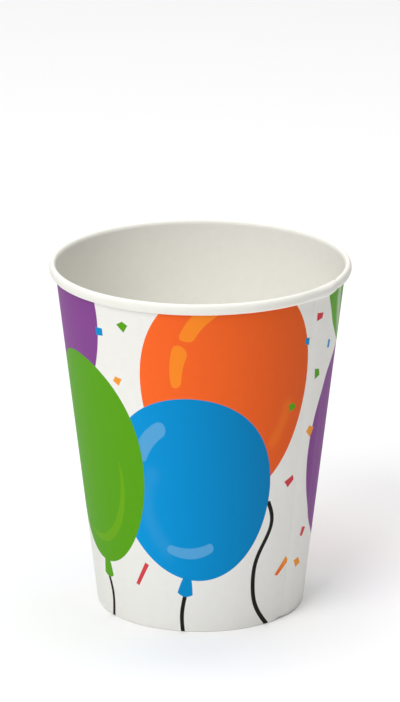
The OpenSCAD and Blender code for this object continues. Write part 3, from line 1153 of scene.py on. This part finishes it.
@dataclass
class SideWall:
    """The side wall: one sheet of board from the skirt's cut edge to the roll's tucked edge.

    The sheet starts at the free edge of the lap's outer ply, runs once round to the right,
    and ends under that ply. Climb is over how many degrees the outer ply comes back to the
    wall, and press is how much thinner its printed face is pressed at its free edge, over
    press_turn degrees. Bulge is by how much the lap swells the roll.

    A field that holds a pair says where a smooth step starts and ends: in degrees past the
    outer ply's free edge for swell_rise, in degrees of the roll for swollen_roll, and in
    metres of height for flat_foot, rib_start and rib_end. The bands are those of the two
    faces and the four cut edges on the bake's map.
    """

    shape: CupShape
    groups: BoardGroups
    marks: PrintGroups
    column_step: float = 0.6
    skirt_rows: int = 6
    foot_rows: int = 4
    wall_rows: int = 12
    curl_rows: int = 38
    corner_rows: int = 5
    climb: float = 7.0
    press: float = 0.25 * MM
    press_turn: float = 5.0
    bulge: float = 0.36 * MM
    swell_rise: tuple[float, float] = (-5.0, 7.0)
    swell_sink: float = 0.65
    swell_sink_turn: float = 8.0
    swollen_roll: tuple[float, float] = (95.0, 170.0)
    flat_foot: tuple[float, float] = (0.4 * MM, 1.6 * MM)
    rib_count: int = 120
    rib_depth: float = 0.05 * MM
    rib_start: tuple[float, float] = (0.6 * MM, 1.4 * MM)
    rib_end: tuple[float, float] = (4.4 * MM, 5.2 * MM)
    out_of_round: float = 0.04 * MM
    out_of_round_turn: float = 0.7

    FACE_BANDS = ((0.004, 0.52), (0.53, 0.88))
    EDGE_BANDS = ((0.89, 0.91), (0.918, 0.938), (0.946, 0.966), (0.974, 0.994))

    def middle_line(self) -> tuple[np.ndarray, np.ndarray]:
        """The section's middle line: down the skirt, round the fold, up the wall, round the roll.

        The fold's corners are quarter circles. The roll is an oval whose half axes shrink by
        one ply and its clearance as it turns back to the wall:
            r = roll_r + (a - tuck * max(0, turn - 180) / 180) * cos(180 - turn)
            z = roll_z + (b - tuck * max(0, turn - 270) / 180) * sin(180 - turn)

        Returns:
            Radius and height of each row, n by 2; and the turn of the roll at each row, which
            is 0 below the roll.
        """
        s = self.shape
        half = s.board / 2
        z = np.linspace(s.skirt_top, s.fold_r, self.skirt_rows)
        skirt = np.stack([s.wall_r(z) - s.skirt_depth, z], 1)
        foot_in = s.wall_r(s.fold_r) - s.skirt_depth - half + s.fold_r
        foot_out = s.wall_r(s.fold_r) - s.fold_r
        corner = np.radians(np.linspace(0, 90, self.corner_rows + 1)[1:])
        arc = s.fold_r - half
        inner = np.stack([foot_in - arc * np.cos(corner), s.fold_r - arc * np.sin(corner)], 1)
        outer = np.stack([foot_out + arc * np.sin(corner), s.fold_r - arc * np.cos(corner)], 1)
        first = np.array([[foot_out, s.fold_r - arc]])
        z = np.concatenate([
            s.fold_r + s.floor_h * np.linspace(0, 1, self.foot_rows + 1)[1:] ** 2,
            np.linspace(s.floor_h, s.roll_z, self.wall_rows)[1:]])
        wall = np.stack([s.wall_r(z) - half, z], 1)
        turn = np.linspace(0, s.curl_turn, self.curl_rows + 1)[1:]
        tuck = s.board + s.curl_gap
        half_w = (s.roll_w - s.board) / 2 - tuck * np.maximum(0, turn - 180) / 180
        half_h = (s.roll_h - s.board) / 2 - tuck * np.maximum(0, turn - 270) / 180
        angle = np.radians(180 - turn)
        roll = np.stack([s.roll_r + half_w * np.cos(angle), s.roll_z + half_h * np.sin(angle)], 1)
        line = np.concatenate([skirt, inner, first, outer, wall, roll])
        return line, np.concatenate([np.zeros(len(line) - len(turn)), turn])

    def swell(self, past: np.ndarray) -> np.ndarray:
        """Share by which the lap swells the roll: it rises at the lap's start, and sinks along it.

        Args:
            past: Turn past the outer ply's free edge, where the lap starts.

        Returns:
            The share at each turn.
        """
        sink = self.swell_sink * ease(past, self.swell_sink_turn, self.shape.lap_turn)
        return ease(past, *self.swell_rise) * (1 - sink)

    def shifts(self, line: np.ndarray, turn: np.ndarray, phi: np.ndarray) -> np.ndarray:
        """How far the sheet lies off its middle line, towards its printed side.

        At the lap the outer ply lies one board further out, and comes back over a short
        climb. In the flat foot and in the roll the inner ply gives way instead. The lap
        swells the roll outwards and down.

        Args:
            line: The section's middle line, n by 2.
            turn: Turn of the roll at each row.
            phi: Turn about the cup's axis at each column.

        Returns:
            The shift of each row and column.
        """
        s = self.shape
        step = s.board + s.glue / 2
        from_start = phi - phi[0]
        from_edge = phi - s.lap_edge
        low = (1 - ease(line[:, 1], *self.flat_foot))[:, None]
        rolled = (ease(turn, *self.swollen_roll) * (turn > 0))[:, None]
        over = 1 - ease(from_start, s.lap_turn, s.lap_turn + self.climb)
        outer = over * (step - self.bulge * self.swell(from_start) * rolled) * (1 - low)
        under = ease(from_edge, -self.climb, 0) * step * low
        inner = -(self.bulge * self.swell(from_edge) * rolled + under)
        half_way = (phi[0] + phi[-1]) / 2
        return np.where(phi < half_way, outer, inner)

    def grid(self) -> tuple[np.ndarray, np.ndarray, np.ndarray]:
        """Works out both faces of the sheet, half a board to either side of its middle line.

        The wall is out of round by depth * z / height * (cos(2 * phi + turn) - 1).

        Returns:
            Points with axes face (printed, plain), row, column and X Y Z; the distance along
            the section from the foot at each row; and the turn at each column.
        """
        s = self.shape
        line, turn = self.middle_line()
        columns = int(round((360 + s.lap_turn) / self.column_step)) + 1
        phi = np.linspace(s.lap_edge - 360, s.lap_edge + s.lap_turn, columns)
        step = np.gradient(line, axis=0)
        step /= np.linalg.norm(step, axis=1, keepdims=True)
        normal = np.stack([step[:, 1], -step[:, 0]], 1)
        shift = self.shifts(line, turn, phi) + self.ribs(line, phi)
        pressed = self.press * (1 - ease(phi, phi[0], phi[0] + self.press_turn))
        angle = np.radians(phi)
        faces = []
        for side, thinner in ((1, pressed), (-1, 0.0)):
            away = shift + side * s.board / 2 - thinner
            r = line[:, :1] + normal[:, :1] * away
            z = np.maximum(line[:, 1:] + normal[:, 1:] * away, 0)
            oval = np.cos(2 * angle + self.out_of_round_turn) - 1
            r = r + self.out_of_round * (z / s.height) * oval
            faces.append(np.stack([r * np.sin(angle), -r * np.cos(angle), z + 0 * angle], 2))
        length = np.linalg.norm(np.diff(line, axis=0), axis=1)
        along = np.concatenate([[0], np.cumsum(length)])
        foot = int(np.argmax(line[:, 0] >= s.wall_r(s.fold_r) - s.board / 2 - SLACK))
        return np.stack(faces), along - along[foot] + s.fold_r / s.cone_cos, phi

    def ribs(self, line: np.ndarray, phi: np.ndarray) -> np.ndarray:
        """The knurl that presses the skirt against the base's edge, on the skirt alone.

        Args:
            line: The section's middle line, n by 2.
            phi: Turn about the cup's axis at each column.

        Returns:
            The shift -depth * reach * (1 + cos(count * phi)) / 2 of each row and column.
        """
        s = self.shape
        on_skirt = line[:, 0] < s.wall_r(line[:, 1]) - s.skirt_depth + SLACK
        reach = ease(line[:, 1], *self.rib_start) * (1 - ease(line[:, 1], *self.rib_end))
        wave = (1 + np.cos(np.radians(self.rib_count * phi))) / 2
        return -self.rib_depth * (on_skirt * reach)[:, None] * wave

    def build(self) -> bpy.types.Object:
        """Builds the sheet, its two maps and its finishes, in place of the CAD node.

        Returns:
            The sheet.
        """
        points, along, phi = self.grid()
        _, rows, columns, _ = points.shape
        printed, plain = np.arange(2 * rows * columns).reshape(2, rows, columns)
        cut_edges = (
            (plain[0], printed[0]), (printed[-1], plain[-1]),
            (printed[:, 0], plain[:, 0]), (plain[:, -1], printed[:, -1]))
        patches = [
            Patch(printed, 0, self.FACE_BANDS[0]),
            Patch(plain, 1, self.FACE_BANDS[1], flip=True)]
        patches += [
            Patch(np.stack(edge), 2, band) for edge, band in zip(cut_edges, self.EDGE_BANDS)]
        quads = np.concatenate([patch.quads() for patch in patches])
        slots = np.concatenate([np.full(len(patch.quads()), patch.slot) for patch in patches])
        finishes = [
            PRINTED_BOARD.build_print(self.groups, self.marks, self.shape),
            COATED_BOARD.build(self.groups), CUT_BOARD.build(self.groups)]
        piece = make_piece("side_wall_board", points.reshape(-1, 3), quads, slots, finishes)
        self.map_blank(piece, along, phi)
        self.write_map(piece, BAKE_MAP, np.concatenate([patch.places() for patch in patches]))
        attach(piece, "root")
        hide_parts("side_wall")
        return piece

    def map_blank(self, piece: bpy.types.Object, along: np.ndarray, phi: np.ndarray) -> None:
        """Writes the map with the flat blank's X and Y, in metres.

        Args:
            piece: The sheet.
            along: Distance from the foot at each row.
            phi: Turn at each column.
        """
        s = self.shape
        rho = s.foot_slant + along[:, None]
        theta = np.radians(phi) * s.cone_sin
        flat = np.stack([rho * np.sin(theta), rho * np.cos(theta) - s.foot_slant], 2)
        per_vertex = np.concatenate([flat.reshape(-1, 2)] * 2)
        corner = np.empty(len(piece.data.loops), np.int32)
        piece.data.loops.foreach_get("vertex_index", corner)
        self.write_map(piece, BLANK_MAP, per_vertex[corner])

    @staticmethod
    def write_map(piece: bpy.types.Object, name: str, places: np.ndarray) -> None:
        """Writes one place for each face corner into a new map."""
        layer = piece.data.uv_layers.new(name=name)
        layer.uv.foreach_set("vector", places.astype(np.float32).ravel())


@dataclass
class BaseDisc:
    """The base: a disc of board, slightly dished, with its edge turned down into the foot.

    The pleats set in between the two distances from the edge that pleat_start gives, as
    shares of the bend's radius.
    """

    shape: CupShape
    groups: BoardGroups
    bend_r: float = 0.9 * MM
    dish: float = 0.18 * MM
    columns: int = 432
    disc_rows: int = 26
    bend_rows: int = 9
    flange_rows: int = 5
    pleat_count: int = 72
    pleat_depth: float = 0.035 * MM
    pleat_start: tuple[float, float] = (1.5, 0.6)

    def line(self) -> np.ndarray:
        """Closed section from the axis over the top, round the bend, under the edge and back.

        The bend is a quarter circle in each face. The disc sinks by dish * (1 - (r / R) ** 2).

        Returns:
            Radius and height of each row, n by 2.
        """
        s = self.shape
        bend_z = s.floor_h - self.bend_r
        edge_r = s.wall_r(bend_z) - s.board - s.glue
        end_z = s.board + s.glue
        end_r = s.wall_r(end_z) - s.board - s.glue
        arc = np.radians(np.linspace(90, 0, self.bend_rows))
        flat = (edge_r - self.bend_r) * np.linspace(0, 1, self.disc_rows)[:-1]
        sink = self.dish * (1 - (flat / (edge_r - self.bend_r)) ** 2)
        inner = self.bend_r - s.board
        down = np.linspace(0, 1, self.flange_rows + 1)[1:]
        top = np.stack([flat, s.floor_h - sink], 1)
        bend = np.stack([
            edge_r - self.bend_r * (1 - np.cos(arc)), bend_z + self.bend_r * np.sin(arc)], 1)
        flange = np.stack([edge_r + (end_r - edge_r) * down, bend_z + (end_z - bend_z) * down], 1)
        back = np.stack([
            end_r - s.board + (edge_r - end_r) * (1 - down[::-1]),
            end_z + (bend_z - end_z) * (1 - down[::-1])], 1)
        under_bend = np.stack([
            edge_r - self.bend_r + inner * np.cos(arc[::-1]), bend_z + inner * np.sin(arc[::-1])], 1)
        under = np.stack([flat[::-1], s.floor_h - s.board - sink[::-1]], 1)
        return np.concatenate([top, bend, flange, back, under_bend, under])

    def build(self) -> bpy.types.Object:
        """Builds the disc by turning its section, with pleats where its edge is bent.

        A pleat draws the radius in by depth * (1 - cos(count * phi)) / 2.

        Returns:
            The disc.
        """
        line = self.line()
        phi = np.radians(np.arange(self.columns) * 360 / self.columns)
        rows = len(line)
        edge = line[:, 0].max()
        start, full = (edge - share * self.bend_r for share in self.pleat_start)
        reach = ease(line[:, 0], start, full)[:, None]
        pleat = self.pleat_depth * reach * (np.cos(self.pleat_count * phi) - 1) / 2
        r = line[:, :1] + pleat
        points = np.stack([r * np.sin(phi), -r * np.cos(phi), line[:, 1:] + 0 * phi], 2)
        number = np.arange(rows * self.columns).reshape(rows, self.columns)
        number[0] = 0
        number[-1] = (rows - 1) * self.columns
        turned = np.concatenate([number, number[:, :1]], 1)
        quads = strip(turned)[:, ::-1]
        # The first and the last strip meet the axis in one vertex, as triangles that repeat
        # their last vertex. The last strip's corners are moved round by one for that.
        quads[-self.columns:] = quads[-self.columns:][:, [1, 2, 3, 3]]
        used, packed = np.unique(quads, return_inverse=True)
        quads = packed.reshape(quads.shape)
        cut_row = self.disc_rows + self.bend_rows + self.flange_rows - 2
        slots = np.repeat((np.arange(rows - 1) >= cut_row).astype(int), self.columns)
        piece = make_piece(
            "base_panel", points.reshape(-1, 3)[used], quads, slots,
            [BASE_TOP.build(self.groups), BASE_UNDER.build(self.groups)])
        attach(piece, "root")
        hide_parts("base_disc")
        return piece


@dataclass(frozen=True)
class SoftLight:
    """A square light that faces the cup: where it stands, its side's length and its watts."""

    name: str
    place: Place
    side: float
    power: float


@dataclass
class Studio:
    """The pale floor, the soft lights and the camera."""

    distance: float = 1.15
    elevation: float = 17.9
    aim_height: float = 67.5 * MM
    focal_px: float = 4437.0
    long_side_px: float = 702.0
    centre_shift_px: float = 0.4
    sensor: float = 36.0
    far_clip: float = 20.0
    floor_size: float = 6.0
    floor_colour: Colour = field(default_factory=lambda: display(250, 250, 250))
    floor_mottle: float = 0.01
    floor_mottle_scale: float = 3.0
    floor_roughness: float = 0.9
    floor_gloss: float = 0.1
    sky: float = 0.11
    lamps: tuple[SoftLight, ...] = (
        SoftLight("key_light", (-0.7, -1.0, 1.1), 0.9, 13.2),
        SoftLight("overhead_light", (0.0, 0.2, 2.0), 2.0, 41.5))

    def build(self) -> None:
        """Builds all of the studio."""
        self.floor()
        self.world()
        for lamp in self.lamps:
            self.light(lamp)
        self.camera()
        bpy.context.scene.view_settings.view_transform = "Standard"

    def floor(self) -> None:
        """A wide pale floor with a faint mottle."""
        half = self.floor_size / 2
        points = np.array([[-half, -half, 0], [half, -half, 0], [half, half, 0], [-half, half, 0]])
        material = bpy.data.materials.new("pale_floor")
        material.use_nodes = True
        g = Graph(material.node_tree)
        place = g.node("ShaderNodeTexCoord").outputs["Object"]
        tone = g.math(
            "MULTIPLY_ADD", g.noise(place, self.floor_mottle_scale), self.floor_mottle,
            1 - self.floor_mottle)
        shader = material.node_tree.nodes["Principled BSDF"]
        g.feed(shader.inputs["Base Color"], g.toned(self.floor_colour, tone))
        shader.inputs["Roughness"].default_value = self.floor_roughness
        shader.inputs["Specular IOR Level"].default_value = self.floor_gloss
        quad = np.array([[0, 1, 2, 3]])
        make_piece("studio_floor", points, quad, np.zeros(1), [material])

    def world(self) -> None:
        """A pale sky all round."""
        made = bpy.data.worlds.new("pale_sky")
        made.use_nodes = True
        sky = made.node_tree.nodes["Background"]
        sky.inputs["Color"].default_value = (1.0, 1.0, 1.0, 1.0)
        sky.inputs["Strength"].default_value = self.sky
        bpy.context.scene.world = made

    def light(self, lamp: SoftLight) -> None:
        """Adds a light and turns it to the cup's middle.

        Args:
            lamp: The light.
        """
        data = bpy.data.lights.new(lamp.name, "AREA")
        data.size = lamp.side
        data.energy = lamp.power
        made = bpy.data.objects.new(lamp.name, data)
        bpy.context.scene.collection.objects.link(made)
        self.aim(made, lamp.place, (0.0, 0.0, self.aim_height))

    def camera(self) -> None:
        """The camera at the photograph's angle, distance and framing."""
        lens = bpy.data.cameras.new("camera")
        lens.sensor_width = self.sensor
        lens.lens = self.focal_px / self.long_side_px * self.sensor
        lens.shift_x = -self.centre_shift_px / self.long_side_px
        lens.clip_end = self.far_clip
        made = bpy.data.objects.new("camera", lens)
        bpy.context.scene.collection.objects.link(made)
        rise = math.radians(self.elevation)
        place = (
            0.0, -self.distance * math.cos(rise),
            self.aim_height + self.distance * math.sin(rise))
        self.aim(made, place, (0.0, 0.0, self.aim_height))
        bpy.context.scene.camera = made

    @staticmethod
    def aim(made: bpy.types.Object, place: Place, target: Place) -> None:
        """Puts an object at a place and turns its -Z to a target, with +Y up.

        Args:
            made: The light or camera.
            place: Where it goes.
            target: What it faces.
        """
        made.location = place
        back = np.array(place) - np.array(target)
        back /= np.linalg.norm(back)
        pan = math.atan2(back[0], -back[1])
        tilt = math.acos(back[2])
        made.rotation_euler = (tilt, 0.0, pan)


def main() -> None:
    """Builds the cup and its studio."""
    logging.basicConfig(level=logging.INFO, format="%(name)s: %(message)s")
    shape = CupShape.from_frame()
    groups, marks = BoardGroups(), PrintGroups()
    for part in (SideWall(shape, groups, marks), BaseDisc(shape, groups)):
        piece = part.build()
        LOG.info("%s: %d vertices, %d faces", piece.name, len(piece.data.vertices),
                 len(piece.data.polygons))
    Studio().build()
    LOG.info("studio built")


if __name__ == "__main__":
    main()
